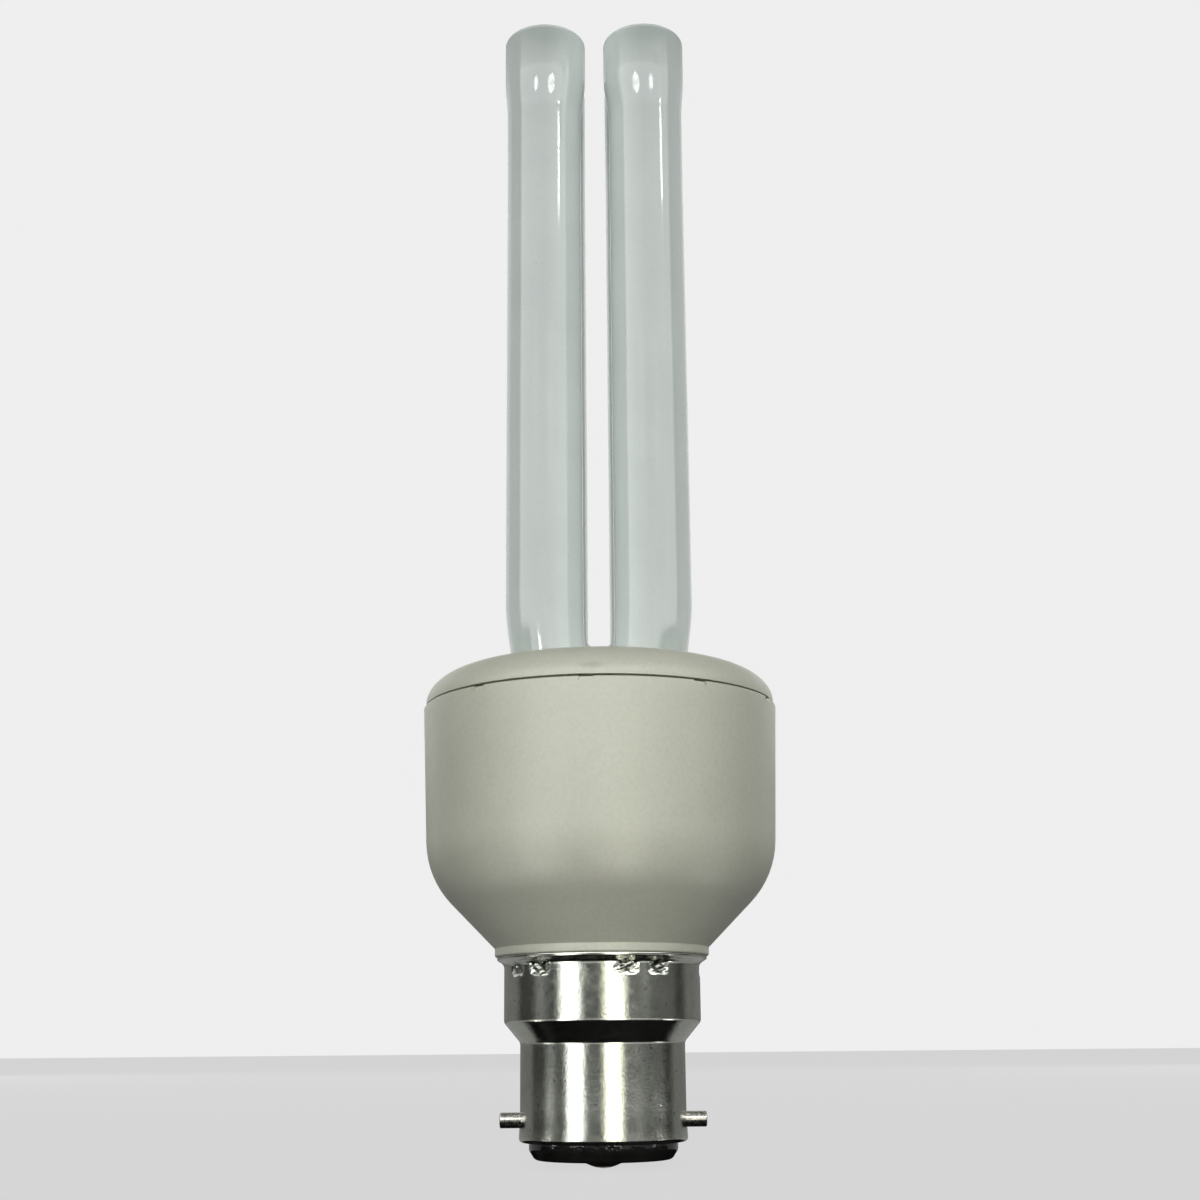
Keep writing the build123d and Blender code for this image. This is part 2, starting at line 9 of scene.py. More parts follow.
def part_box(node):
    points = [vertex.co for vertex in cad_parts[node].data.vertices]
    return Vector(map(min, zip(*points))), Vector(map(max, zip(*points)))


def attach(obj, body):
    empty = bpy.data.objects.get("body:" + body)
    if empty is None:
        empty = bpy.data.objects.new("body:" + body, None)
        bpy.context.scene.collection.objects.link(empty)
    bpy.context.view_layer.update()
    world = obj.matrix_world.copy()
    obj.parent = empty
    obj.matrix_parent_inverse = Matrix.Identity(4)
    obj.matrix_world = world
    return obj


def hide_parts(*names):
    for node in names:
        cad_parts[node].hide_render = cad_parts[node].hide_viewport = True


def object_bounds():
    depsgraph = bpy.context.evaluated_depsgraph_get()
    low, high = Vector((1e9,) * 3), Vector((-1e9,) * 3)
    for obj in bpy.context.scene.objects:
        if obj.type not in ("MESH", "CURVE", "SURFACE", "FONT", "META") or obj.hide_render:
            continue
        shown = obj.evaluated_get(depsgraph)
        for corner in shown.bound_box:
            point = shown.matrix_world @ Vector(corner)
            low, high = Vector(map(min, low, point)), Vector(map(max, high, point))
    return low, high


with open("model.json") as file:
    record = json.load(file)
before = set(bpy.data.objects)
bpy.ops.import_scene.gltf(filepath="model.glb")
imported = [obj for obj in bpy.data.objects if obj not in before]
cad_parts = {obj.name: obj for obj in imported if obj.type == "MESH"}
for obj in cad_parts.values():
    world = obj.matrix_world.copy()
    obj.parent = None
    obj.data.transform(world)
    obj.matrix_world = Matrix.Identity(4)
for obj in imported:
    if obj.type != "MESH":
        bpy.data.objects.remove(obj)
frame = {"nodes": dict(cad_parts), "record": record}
cad_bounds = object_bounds()

# Compact fluorescent bulb on a pale floor. Outlines are (radius, level) points in millimetres
# about the bulb's axis, and every object is in metres in the CAD model's frame.
MM = 0.001

# Facets
CASE_TURNS = 224
CAP_TURNS = 720
TUBE_TURNS = 96
SMALL_TURNS = 48
STAGE_TURNS = 96
FILLET_STEPS = 8
ROUND_STEPS = 20
CRIMP_ROWS = 8                # rings in a crimp's height
SHARP_ANGLE = radians(40)

# Bayonet cap
CAP_WALL = 0.35
BARREL_RADIUS = 10.85
BARREL_RISE = 9.8
RIM_RADIUS = 11.0
RIM_HEIGHT = 3.3
RIM_SLOPE = 2.7               # height of the slope that ends the rim
RIM_ROUND = 0.5
RIM_SWEEP = 40.0              # radius of the bend above the rim
LIP_BORE_RADIUS = 9.7
CONE_HEIGHT = 2.55
SKIRT_RADIUS = 13.0
SKIRT_HEIGHT = 7.45
FLARE_EDGE = 0.4
FLARE_ROUND = 0.2             # under the flare's edge
FLARE_TOP_ROUND = 0.15
BEND_RADIUS = 0.9

# Crimps, in pairs round the skirt
CRIMP_PAIRS = 5
CRIMP_PAIR_TURN = -48.0       # degrees from the front to the middle of one pair
CRIMP_PAIR_SPREAD = 10.0      # degrees from a pair's middle to each crimp
CRIMP_DEPTH = 0.3
CRIMP_WIDTH = 1.3
CRIMP_HEIGHT = 0.75
CRIMP_POWER = 4               # how square a dent's sides are
CRIMP_DROP = 0.75             # from the skirt's top to a crimp's middle
CRIMP_REACH = 1.9             # farthest that a dent runs up or down from its middle
CRIMP_RIPPLE = 0.3            # share of the depth that comes and goes across a crimp
CRIMP_WAVES = ((5, 3, 1), (-4, 6, 2))  # of the ripple: across, up, and from crimp to crimp
# spread of the painted shade round each crimp
CRIMP_SHADE_SPREAD = (1.7, 1.7, 1.0)

# Pins, insulator and contacts
PIN_RADIUS = 1.0
PIN_ROUND = 0.18
PIN_ROOT = 1.0                # from the barrel's outside in to a pin's inner end
INSULATOR_FACE_RADIUS = 8.9
INSULATOR_EDGE = 0.8
INSULATOR_SIDE = 1.0          # height of the side's upright part, under the rim
CONTACT_RADIUS = 2.7

# Case and collar
CASE_WALL = 1.7
NECK_CLEARANCE = 0.6          # inside the cap's skirt, past the crimps
RING_RADIUS = 14.25
RING_HEIGHT = 1.1
RING_ROUND = 0.25
CONE_RISE = 9.3
SHOULDER_RADIUS = 12.0
WALL_DRAFT = 0.75
EDGE_ROUND = 0.2
EDGE_BAND = 1.8               # height of the wall's last ring of facets, which the notches cut
NOTCH_COUNT = 10
NOTCH_WIDTH = 1.9
NOTCH_HEIGHT = 0.6
NOTCH_DEPTH = 0.7
NOTCH_TURN = -4.0             # degrees from the front to the nearest notch
SEAM_GAP = 0.3
COLLAR_BAND = 0.35
CROWN_RUN = 7.0
CROWN_RISE = 4.4
COLLAR_PLATE = 2.2
SPIGOT_WALL = 1.5
SPIGOT_CLEARANCE = 0.3
SOCKET_CLEARANCE = 0.15
SOCKET_SPARE = 1.0            # how far a socket's cutter passes the plate
SMUDGE_PLACE = (-0.9, -23.7, 55.5)
SMUDGE_SPREAD = (2.2, 3.0, 0.65)

# Discharge tube
TUBE_PITCH = 14.35
FRONT_RADIUS = 5.3
FRONT_CENTRE = 7.4
REAR_RADIUS = 5.525
REAR_CENTRE = 7.05
END_GROWTH = 0.55             # of the front pair's radius
REAR_END_GROWTH = 0.3
END_FLARE = 6.5
END_BAND = 5.4
END_RUN = 4.8
END_RISE = 1.8
END_LEAN = 0.2                # of the front tips, towards the middle of the bulb
REAR_END_LEAN = -0.3
ROOT_SHRINK = 0.45
ROOT_DROP = 4.0               # how far below the collar's top the root is at its slimmest
ROOT_TAPER = 13.0
ROOT_LEAN = 0.7
BRIDGE_RADIUS = 2.6
BRIDGE_FLARE = 1.1            # how far the fused joint spreads on to a limb
BRIDGE_FLARE_START = 0.4      # shares of the way from a bridge's middle to a limb
BRIDGE_FLARE_RUN = 0.9
BRIDGE_DROP = 9.0
BRIDGE_CLEARANCE = 0.2

# Finishes, as dark and light tones
POWDER_TONES = ((0.67, 0.72, 0.7), (0.7, 0.75, 0.73))
CLOUD_TONES = ((0.95, 0.95, 0.95), (1.0, 1.0, 1.0))
PLASTIC_TONES = ((0.53, 0.53, 0.44), (0.57, 0.57, 0.48))
SHEET_TONES = ((0.55, 0.57, 0.5), (0.65, 0.67, 0.6))
PIN_TONES = ((0.25, 0.24, 0.22), (0.55, 0.54, 0.5))
BLACK_TONES = ((0.008, 0.008, 0.008), (0.016, 0.015, 0.014))
SOLDER_TONES = ((0.12, 0.08, 0.05), (0.4, 0.36, 0.31))
INNER_SHADES = (0.85, 1.1)    # shares of a hidden piece's own colour
INNER_METALS = ("brushed_steel", "brass")
IOR = 1.5
NOISE_LOW = 0.3               # values between which most of a noise lies
NOISE_HIGH = 0.7
MIX_FIRST, MIX_SECOND, MIX_RESULT = 6, 7, 2  # colour sockets of a Mix node

# Camera, from the photograph's perspective
CAMERA_DISTANCE = 237.6
CAMERA_RISE = 8.93
CAMERA_SIDE = 0.165
CAMERA_PITCH = radians(14.4)
CAMERA_ROLL = radians(-0.507)
CAMERA_CLIP = 0.01
LENS = 52.44
SENSOR = 36.0


def reach(node):
    """Largest radius and lowest and highest level of a turned CAD node, in millimetres."""
    low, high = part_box(node)
    return high.x / MM, low.z / MM, high.z / MM


flare_radius, rim_bottom, cap_top = reach("cap_shell")
mouth_radius, neck_bottom, seam_bottom = reach("ballast_housing")
collar_radius, spigot_end, collar_top = reach("tube_collar")
pin_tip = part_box("bayonet_pin_right")[1].x / MM
insulator_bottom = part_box("cap_insulator")[0].z / MM
insulator_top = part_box("cap_insulator")[1].z / MM
contact_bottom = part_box("contact_front")[0].z / MM
contact_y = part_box("contact_rear")[0].y / MM + CONTACT_RADIUS
tube_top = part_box("discharge_tube")[1].z / MM
tube_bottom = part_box("discharge_tube")[0].z / MM
floor_level = cad_bounds[0][2]

cone_top = BARREL_RISE + CONE_HEIGHT
skirt_top = cone_top + SKIRT_HEIGHT
crimp_level = skirt_top - CRIMP_DROP
flare_top = cap_top - FLARE_EDGE
ring_top = cap_top + RING_HEIGHT
corner_level = ring_top + CONE_RISE
corner_radius = mouth_radius - WALL_DRAFT
neck_radius = SKIRT_RADIUS - CAP_WALL - NECK_CLEARANCE
seam_top = seam_bottom + SEAM_GAP
crown_level = seam_top + COLLAR_BAND
plate_under = collar_top - COLLAR_PLATE
spigot_radius = mouth_radius - CASE_WALL - SPIGOT_CLEARANCE
tube_centre = TUBE_PITCH / 2
limb_places = [(side * FRONT_CENTRE, -tube_centre) for side in (-1, 1)]
limb_places += [(side * REAR_CENTRE, tube_centre) for side in (-1, 1)]


def from_front(degrees):
    """Angle about Z of a place that many degrees right of the front."""
    return radians(degrees - 90)


def rounded(corners):
    """Points of an outline whose (radius, level, round) corners are rounded where the last is not 0."""
    points = []
    for index, (x, y, size) in enumerate(corners):
        here = Vector((x, y))
        if not size:
            points.append((x, y))
            continue
        back = (Vector(corners[index - 1][:2]) - here).normalized()
        on = (Vector(corners[(index + 1) % len(corners)][:2]) - here).normalized()
        half = back.angle(on) / 2
        centre = here + (back + on).normalized() * (size / sin(half))
        first = here + back * (size / tan(half)) - centre
        last = here + on * (size / tan(half)) - centre
        spread = pi - 2 * half
        for step in range(FILLET_STEPS + 1):
            turn = spread * step / FILLET_STEPS
            spoke = (first * sin(spread - turn) + last * sin(turn)) / sin(spread)
            points.append(tuple(centre + spoke))
    return points


def round_over(radius, level, run, rise):
    """Points of an elliptical round from an upright side in to a flat top."""
    turns = [pi / 2 * step / ROUND_STEPS for step in range(ROUND_STEPS + 1)]
    return [(radius - run * (1 - cos(turn)), level + rise * sin(turn)) for turn in turns]


def smooth(share):
    """0 to 1 with a soft start and end."""
    share = min(max(share, 0), 1)
    return share**2 * (3 - 2 * share)


def ease(start, end, base, height):
    """Points of a smooth widening from one radius to another."""
    shares = [step / ROUND_STEPS for step in range(ROUND_STEPS + 1)]
    return [(start + (end - start) * smooth(share), base + height * share) for share in shares]


def filled(outline, longest):
    """The outline with points added along runs that are longer than a length."""
    points = []
    for (x0, y0), (x1, y1) in zip(outline, outline[1:]):
        pieces = max(1, round(((x1 - x0) ** 2 + (y1 - y0) ** 2) ** 0.5 / longest))
        points += [(x0 + (x1 - x0) * k / pieces, y0 + (y1 - y0) * k / pieces) for k in range(pieces)]
    return points + [outline[-1]]


def shaded(bm, mesh):
    """Puts a bmesh into a mesh, smooth apart from its sharp edges."""
    bmesh.ops.recalc_face_normals(bm, faces=bm.faces)
    for face in bm.faces:
        face.smooth = True
    for edge in bm.edges:
        edge.smooth = edge.calc_face_angle(0) < SHARP_ANGLE
    bm.to_mesh(mesh)
    bm.free()


def made(name, bm):
    """Object of a bmesh."""
    mesh = bpy.data.meshes.new(name)
    shaded(bm, mesh)
    obj = bpy.data.objects.new(name, mesh)
    bpy.context.scene.collection.objects.link(obj)
    return obj


def lathe(name, outline, turns, dent=None):
    """Closed solid turned about Z from an outline. dent gives the inward push at an angle and level."""
    bm = bmesh.new()
    rings = []
    for radius, level in outline:
        ring = []
        for turn in range(turns if radius > 0 else 1):
            angle = 2 * pi * turn / turns
            pushed = radius - (dent(angle, level) if dent else 0)
            ring.append(bm.verts.new((pushed * cos(angle) * MM, pushed * sin(angle) * MM, level * MM)))
        rings.append(ring)
    for near, far in zip(rings, rings[1:] + rings[:1]):
        for turn in range(turns):
            after = turn + 1
            corners = [near[turn % len(near)], near[after % len(near)]]
            corners += [far[after % len(far)], far[turn % len(far)]]
            corners = list(dict.fromkeys(corners))
            if len(corners) > 2:
                bm.faces.new(corners)
    return made(name, bm)


def moved(obj, matrix):
    """The object with a transform put into its mesh."""
    obj.data.transform(matrix)
    return obj


def joined(target, tools, operation):
    """The target after a boolean with each tool. The tools are used up."""
    for tool in tools:
        modifier = target.modifiers.new("boolean", "BOOLEAN")
        modifier.operation = operation
        modifier.solver = "EXACT"
        modifier.object = tool
    bpy.context.view_layer.update()
    solid = bpy.data.meshes.new_from_object(target.evaluated_get(bpy.context.evaluated_depsgraph_get()))
    target.modifiers.clear()
    bm = bmesh.new()
    bm.from_mesh(solid)
    shaded(bm, solid)
    target.data = solid
    for tool in tools:
        bpy.data.objects.remove(tool)
    return target


def block(size, place):
    """Box of a size in millimetres that a matrix turns and puts in its place."""
    bm = bmesh.new()
    bmesh.ops.create_cube(bm, size=1, matrix=place @ Matrix.Diagonal((*[side * MM for side in size], 1)))
    return made("cutter", bm)


def at(x, y, z):
    """Move by millimetres."""
    return Matrix.Translation((x * MM, y * MM, z * MM))


def limb_radius(y):
    """Radius of a front or a rear limb."""
    return FRONT_RADIUS if y < 0 else REAR_RADIUS


def make_limb(x, y):
    """One limb, drawn in at its root and widened towards its domed end."""
    dome_foot = tube_top - END_RISE
    root_base = collar_top - ROOT_DROP
    flare_base = dome_foot - END_BAND - END_FLARE
    radius = limb_radius(y)
    end_growth, end_lean = (END_GROWTH, END_LEAN) if y < 0 else (REAR_END_GROWTH, REAR_END_LEAN)
    end_radius = radius + end_growth
    outline = [
        (0, tube_bottom),
        (radius - ROOT_SHRINK, tube_bottom),
        *ease(radius - ROOT_SHRINK, radius, root_base, ROOT_TAPER),
        *ease(radius, end_radius, flare_base, END_FLARE),
        *round_over(end_radius, dome_foot, END_RUN, END_RISE),
        (0, tube_top),
    ]
    limb = lathe("discharge_tube", outline, TUBE_TURNS)
    inwards = -1 if x > 0 else 1
    for vertex in limb.data.vertices:
        level = vertex.co.z / MM
        lean = end_lean * smooth((level - flare_base) / END_FLARE)
        lean += ROOT_LEAN * (1 - smooth((level - root_base) / ROOT_TAPER))
        vertex.co.x += inwards * lean * MM
    return moved(limb, at(x, y, 0))


def make_tube():
    """Four limbs with domed ends and the three bridges that fuse them."""
    limbs = [make_limb(x, y) for x, y in limb_places]
    gap = tube_centre - REAR_RADIUS
    wide = BRIDGE_RADIUS + BRIDGE_FLARE
    neck = ease(BRIDGE_RADIUS, wide, gap * BRIDGE_FLARE_START, gap * BRIDGE_FLARE_RUN)
    bridge = [(0, tube_centre), (wide, tube_centre), *reversed(neck)]
    bridge += [(radius, -level) for radius, level in reversed(bridge)]
    upper = tube_top - BRIDGE_DROP
    lower = collar_top + BRIDGE_CLEARANCE + BRIDGE_RADIUS
    lying = Matrix.Rotation(pi / 2, 4, "X")
    across = Matrix.Rotation(pi / 2, 4, "Y")
    places = [at(x, 0, upper) @ lying for x in (-tube_centre, tube_centre)]
    places.append(at(0, tube_centre, lower) @ across)
    bridges = [moved(lathe("bridge", bridge, SMALL_TURNS), place) for place in places]
    return joined(limbs[0], limbs[1:] + bridges, "UNION")


def make_collar():
    """Domed cover with a socket for each limb and a spigot inside the case."""
    outline = [
        (0, collar_top),
        *reversed(round_over(collar_radius, crown_level, CROWN_RUN, CROWN_RISE)),
        (collar_radius, seam_top),
        (spigot_radius, seam_top),
        (spigot_radius, spigot_end),
        (spigot_radius - SPIGOT_WALL, spigot_end),
        (spigot_radius - SPIGOT_WALL, crown_level),
        (collar_radius - CROWN_RUN, plate_under),
        (0, plate_under),
    ]
    collar = lathe("tube_collar", outline, CASE_TURNS)
    bottom = plate_under - SOCKET_SPARE
    top = collar_top + SOCKET_SPARE
    drawn = 1 - smooth(ROOT_DROP / ROOT_TAPER)
    plugs = []
    for x, y in limb_places:
        hole = limb_radius(y) - ROOT_SHRINK * drawn + SOCKET_CLEARANCE
        plug = [(0, bottom), (hole, bottom), (hole, top), (0, top)]
        shift = 1 - ROOT_LEAN * drawn / abs(x)
        plugs.append(moved(lathe("plug", plug, TUBE_TURNS), at(x * shift, y, 0)))
    return joined(collar, plugs, "DIFFERENCE")


def make_housing():
    """Cup with a neck, a ring, a cone, a rounded shoulder and a tapered wall, notched along the seam."""
    bore = neck_radius - CASE_WALL
    band_radius = mouth_radius - WALL_DRAFT * EDGE_BAND / (seam_bottom - corner_level)
    outline = rounded([
        (bore, neck_bottom, 0),
        (neck_radius, neck_bottom, 0),
        (neck_radius, cap_top, 0),
        (RING_RADIUS, cap_top, RING_ROUND),
        (RING_RADIUS, ring_top, RING_ROUND),
        (corner_radius, corner_level, SHOULDER_RADIUS),
        (band_radius, seam_bottom - EDGE_BAND, 0),
        (mouth_radius, seam_bottom, EDGE_ROUND),
        (mouth_radius - CASE_WALL, seam_bottom, 0),
        (corner_radius - CASE_WALL, corner_level + CASE_WALL / 2, SHOULDER_RADIUS - CASE_WALL),
        (bore, ring_top, 0),
    ])
    housing = lathe("ballast_housing", outline, CASE_TURNS)
    size = (2 * NOTCH_DEPTH, NOTCH_WIDTH, 2 * NOTCH_HEIGHT)
    cutters = []
    for notch in range(NOTCH_COUNT):
        turn = Matrix.Rotation(from_front(NOTCH_TURN + notch * 360 / NOTCH_COUNT), 4, "Z")
        cutters.append(block(size, turn @ at(mouth_radius, 0, seam_bottom)))
    return joined(housing, cutters, "DIFFERENCE")


crimp_angles = [
    from_front(CRIMP_PAIR_TURN + pair * 360 / CRIMP_PAIRS + side * CRIMP_PAIR_SPREAD)
    for pair in range(CRIMP_PAIRS)
    for side in (-1, 1)
]


def crimp(angle, level):
    """Push of the crimps, each a dent that the punch left uneven."""
    push = 0.0
    above = level - crimp_level
    rise = above / CRIMP_HEIGHT
    if abs(above) < CRIMP_REACH:
        for number, place in enumerate(crimp_angles):
            offset = (angle - place + pi) % (2 * pi) - pi
            along = offset * SKIRT_RADIUS / CRIMP_WIDTH
            ripple = sum(sin(a * along + b * rise + c * number) for a, b, c in CRIMP_WAVES)
            fade = exp(-(along**CRIMP_POWER) - rise**CRIMP_POWER)
            push += CRIMP_DEPTH * (1 + CRIMP_RIPPLE * ripple) * fade
    return push


def make_cap():
    """Drawn shell with a rolled rim, barrel, cone, crimped skirt and flared lip."""
    rim_top = rim_bottom + RIM_HEIGHT
    plain = rounded([
        (LIP_BORE_RADIUS, rim_bottom, 0),
        (RIM_RADIUS, rim_bottom, RIM_ROUND),
        (RIM_RADIUS, rim_top - RIM_SLOPE, 0),
        (BARREL_RADIUS, rim_top, RIM_SWEEP),
        (BARREL_RADIUS, BARREL_RISE, BEND_RADIUS),
        (SKIRT_RADIUS, cone_top, BEND_RADIUS),
        (SKIRT_RADIUS, crimp_level - CRIMP_REACH, 0),
    ])
    crimped = rounded([
        (SKIRT_RADIUS, crimp_level - CRIMP_REACH, 0),
        (SKIRT_RADIUS, skirt_top, BEND_RADIUS),
        (flare_radius, flare_top, FLARE_ROUND),
        (flare_radius, cap_top, FLARE_TOP_ROUND),
        (flare_radius - CAP_WALL, cap_top, 0),
    ])
    inside = [
        (SKIRT_RADIUS - CAP_WALL, skirt_top),
        (SKIRT_RADIUS - CAP_WALL, cone_top),
        (BARREL_RADIUS - CAP_WALL, BARREL_RISE),
        (BARREL_RADIUS - CAP_WALL, rim_bottom + CAP_WALL),
        (LIP_BORE_RADIUS, rim_bottom + CAP_WALL),
    ]
    outline = plain[:-1] + filled(crimped, CRIMP_HEIGHT / CRIMP_ROWS) + inside
    return lathe("cap_shell", outline, CAP_TURNS, crimp)


def make_pin(name, turn):
    """Pin with a softly rounded end."""
    root = BARREL_RADIUS - PIN_ROOT
    outline = rounded([
        (0, root, 0),
        (PIN_RADIUS, root, 0),
        (PIN_RADIUS, pin_tip, PIN_ROUND),
        (0, pin_tip, 0),
    ])
    placed = Matrix.Rotation(radians(turn), 4, "Z") @ Matrix.Rotation(pi / 2, 4, "Y")
    return moved(lathe(name, outline, SMALL_TURNS), placed)


def make_insulator():
    """Black glass disc with a rounded edge."""
    outline = rounded([
        (0, insulator_bottom, 0),
        (INSULATOR_FACE_RADIUS, insulator_bottom, INSULATOR_EDGE),
        (LIP_BORE_RADIUS, rim_bottom - INSULATOR_SIDE, INSULATOR_EDGE),
        (LIP_BORE_RADIUS, rim_bottom, 0),
        (LIP_BORE_RADIUS, rim_bottom + CAP_WALL, 0),
        (BARREL_RADIUS - CAP_WALL, rim_bottom + CAP_WALL, 0),
        (BARREL_RADIUS - CAP_WALL, insulator_top, 0),
        (0, insulator_top, 0),
    ])
    return lathe("cap_insulator", outline, CAP_TURNS)


def make_contact(name, y):
    """Low dome of solder on the disc's face."""
    drop = contact_bottom - insulator_bottom
    shares = [step / ROUND_STEPS for step in range(ROUND_STEPS)]
    dome = [(CONTACT_RADIUS * (1 - share), insulator_bottom + drop * sin(pi / 2 * share)) for share in shares]
    outline = [(0, insulator_bottom), *dome, (0, contact_bottom)]
    return moved(lathe(name, outline, SMALL_TURNS), at(0, y, 0))


def grey(value):
    """Colour of three equal parts."""
    return (value, value, value)


def mathed(nodes, links, operation, first, second=0):
    """Math node on an output, with another output or a number where it takes one."""
    node = nodes.new("ShaderNodeMath")
    node.operation = operation
    links.new(first, node.inputs[0])
    if isinstance(second, (int, float)):
        node.inputs[1].default_value = second
    else:
        links.new(second, node.inputs[1])
    return node.outputs[0]


def mapped(nodes, links, value, low, high, start=0.0, end=1.0):
    """Map Range node that takes start to low and end to high."""
    node = nodes.new("ShaderNodeMapRange")
    node.inputs["From Min"].default_value = start
    node.inputs["From Max"].default_value = end
    node.inputs["To Min"].default_value = low
    node.inputs["To Max"].default_value = high
    links.new(value, node.inputs["Value"])
    return node.outputs["Result"]


def ramped(nodes, links, factor, stops):
    """Colours along a factor, as (position, colour) stops."""
    ramp = nodes.new("ShaderNodeValToRGB")
    while len(ramp.color_ramp.elements) < len(stops):
        ramp.color_ramp.elements.new(1.0)
    for element, (position, colour) in zip(ramp.color_ramp.elements, stops):
        element.position = position
        element.color = (*colour, 1)
    links.new(factor, ramp.inputs["Fac"])
    return ramp.outputs["Color"]


def axes(nodes, links):
    """X, Y and Z of the object's own coordinates."""
    split = nodes.new("ShaderNodeSeparateXYZ")
    links.new(nodes.new("ShaderNodeTexCoord").outputs["Object"], split.inputs[0])
    return split.outputs


class Paint:
    """A node material round one Principled shader, painted in the object's own coordinates.

    Places, spreads, sizes and depths are in millimetres.
    """

    def __init__(self, name, metallic=0.0):
        self.material = bpy.data.materials.new(name)
        self.material.use_nodes = True
        self.nodes = self.material.node_tree.nodes
        self.links = self.material.node_tree.links
        self.shader = self.nodes["Principled BSDF"]
        self.shader.inputs["Metallic"].default_value = metallic
        self.shader.inputs["IOR"].default_value = IOR
        self.place = self.nodes.new("ShaderNodeTexCoord").outputs["Object"]

    def vector(self, operation, first, second=(0, 0, 0)):
        """Outputs of a Vector Math node on an output, with a place or spread where it takes one."""
        node = self.nodes.new("ShaderNodeVectorMath")
        node.operation = operation
        node.inputs[1].default_value = [value * MM for value in second]
        self.links.new(first, node.inputs[0])
        return node.outputs

    def near(self, place, spread):
        """Distance from a place, in spreads along each axis."""
        offset = self.vector("SUBTRACT", self.place, place)["Vector"]
        scaled = self.vector("DIVIDE", offset, spread)["Vector"]
        return self.vector("LENGTH", scaled)["Value"]

    def nearest(self, places, spread):
        """Distance from the nearest of some places, in spreads along each axis."""
        least = self.near(places[0], spread)
        for place in places[1:]:
            least = mathed(self.nodes, self.links, "MINIMUM", least, self.near(place, spread))
        return least

    def aside(self, near, far):
        """0 to 1 between two distances to the left or right of the bulb's middle."""
        distance = mathed(self.nodes, self.links, "ABSOLUTE", axes(self.nodes, self.links)["X"])
        return mapped(self.nodes, self.links, distance, 0, 1, near * MM, far * MM)

    def noise(self, size, detail, rough):
        """Noise whose features are about a size."""
        texture = self.nodes.new("ShaderNodeTexNoise")
        texture.inputs["Scale"].default_value = 1 / (size * MM)
        texture.inputs["Detail"].default_value = detail
        texture.inputs["Roughness"].default_value = rough
        self.links.new(self.place, texture.inputs["Vector"])
        return texture.outputs["Fac"]

    def ramp(self, factor, *stops):
        """Colours along a factor, as (position, colour) stops."""
        return ramped(self.nodes, self.links, factor, stops)

    def mottle(self, tones, size, detail=3.0, rough=0.55):
        """A dark and a light tone in patches."""
        dark, light = tones
        return self.ramp(self.noise(size, detail, rough), (NOISE_LOW, dark), (NOISE_HIGH, light))

    def specks(self, tone, start, end, size, detail=3.0, rough=0.55):
        """Grey specks on white, where a noise is low."""
        return self.ramp(self.noise(size, detail, rough), (start, grey(tone)), (end, grey(1.0)))

    def multiplied(self, first, second):
        """Product of two colours."""
        node = self.nodes.new("ShaderNodeMix")
        node.data_type = "RGBA"
        node.blend_type = "MULTIPLY"
        node.inputs["Factor"].default_value = 1
        self.links.new(first, node.inputs[MIX_FIRST])
        self.links.new(second, node.inputs[MIX_SECOND])
        return node.outputs[MIX_RESULT]

    def colour(self, layer, *others):
        """Base colour, the product of its layers."""
        for other in others:
            layer = self.multiplied(layer, other)
        self.links.new(layer, self.shader.inputs["Base Color"])

    def roughness(self, low, high, size, detail=3.0, rough=0.55):
        """Roughness between two values, in patches."""
        noise = self.noise(size, detail, rough)
        value = mapped(self.nodes, self.links, noise, low, high, NOISE_LOW, NOISE_HIGH)
        self.links.new(value, self.shader.inputs["Roughness"])

    def relief(self, depth, strength, size, detail=3.0, rough=0.55):
        """Fine uneven relief of a depth."""
        node = self.nodes.new("ShaderNodeBump")
        node.inputs["Strength"].default_value = strength
        node.inputs["Distance"].default_value = depth * MM
        self.links.new(self.noise(size, detail, rough), node.inputs["Height"])
        self.links.new(node.outputs["Normal"], self.shader.inputs["Normal"])


def glass_paint():
    """White powder with clouds and specks under smooth glass, paler where the limbs face each other as
    painted light on their inner sides.
    """
    paint = Paint("coated_glass")
    paint.shader.inputs["Diffuse Roughness"].default_value = 1.0
    powder = paint.mottle(POWDER_TONES, size=0.35)
    clouds = paint.mottle(CLOUD_TONES, size=9.0, detail=2.0)
    specks = paint.specks(tone=0.75, start=0.2, end=0.26, size=0.6, detail=2.0)
    # painted light: the powder is paler towards the bulb's middle, where the limbs face each other
    painted_inner_light = paint.ramp(paint.aside(near=2.0, far=7.0), (0.0, grey(1.0)), (1.0, grey(0.8)))
    paint.colour(powder, clouds, specks, painted_inner_light)
    paint.roughness(low=0.04, high=0.1, size=5.0)
    return paint.material


def plastic_paint():
    """Moulded plastic, satin and a little yellowed, with a smudge."""
    paint = Paint("case_plastic")
    body = paint.mottle(PLASTIC_TONES, size=14.0)
    specks = paint.specks(tone=0.92, start=0.25, end=0.6, size=0.5, detail=4.0)
    smudge = paint.ramp(paint.near(SMUDGE_PLACE, SMUDGE_SPREAD), (0.2, grey(0.8)), (1.0, grey(1.0)))
    paint.colour(body, specks, smudge)
    paint.roughness(low=0.36, high=0.5, size=2.0, detail=4.0)
    paint.relief(depth=0.01, strength=0.6, size=0.3)
    return paint.material


